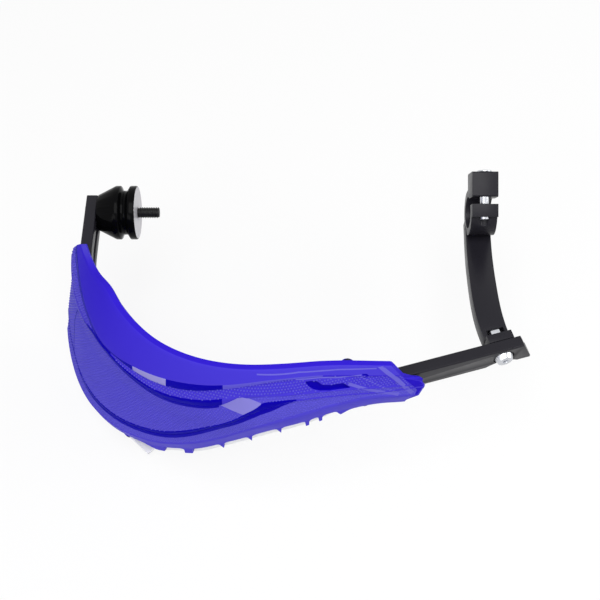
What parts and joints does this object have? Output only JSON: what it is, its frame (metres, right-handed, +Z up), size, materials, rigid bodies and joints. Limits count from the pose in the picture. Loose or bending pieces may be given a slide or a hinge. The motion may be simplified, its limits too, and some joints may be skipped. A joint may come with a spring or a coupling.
{
  "type": "motorcycle hand guard",
  "caption": "Motorcycle hand guard: a moulded shell with a vented lower edge on a bent flat bar, held by a bar-end stud and a handlebar clamp on a link arm.",
  "frame": {"origin": "centre of the bar-end flange's flat face, on the handlebar's axis, where the stud leaves it", "axes": "+X along the handlebar towards the middle of the motorcycle, +Y back towards the rider, +Z up"},
  "size_m": [0.3235, 0.1864, 0.1255],
  "materials": {
    "blue_plastic": "satin moulded polypropylene",
    "white_plastic": "satin moulded polypropylene",
    "black_anodised": "black anodised aluminium",
    "black_gloss": "glossy black",
    "black_plastic": "moulded black nylon",
    "black_steel": "black oxide steel",
    "zinc_steel": "zinc plated steel"
  },
  "bodies": {
    "root": {"hand_shield": "blue_plastic", "vent_panel": "white_plastic", "guard_bar": "black_anodised", "bar_straps": "black_plastic", "saddle_screws": "black_steel", "saddle_nuts": "black_steel", "panel_screws": "black_steel", "end_cone": "black_gloss", "end_flange": "black_gloss", "end_bolt": "black_steel", "link_arm": "black_anodised", "clamp_jaw": "black_anodised", "clamp_screw": "zinc_steel", "pivot_bolt": "zinc_steel", "pivot_nut": "zinc_steel"}
  },
  "joints": []
}
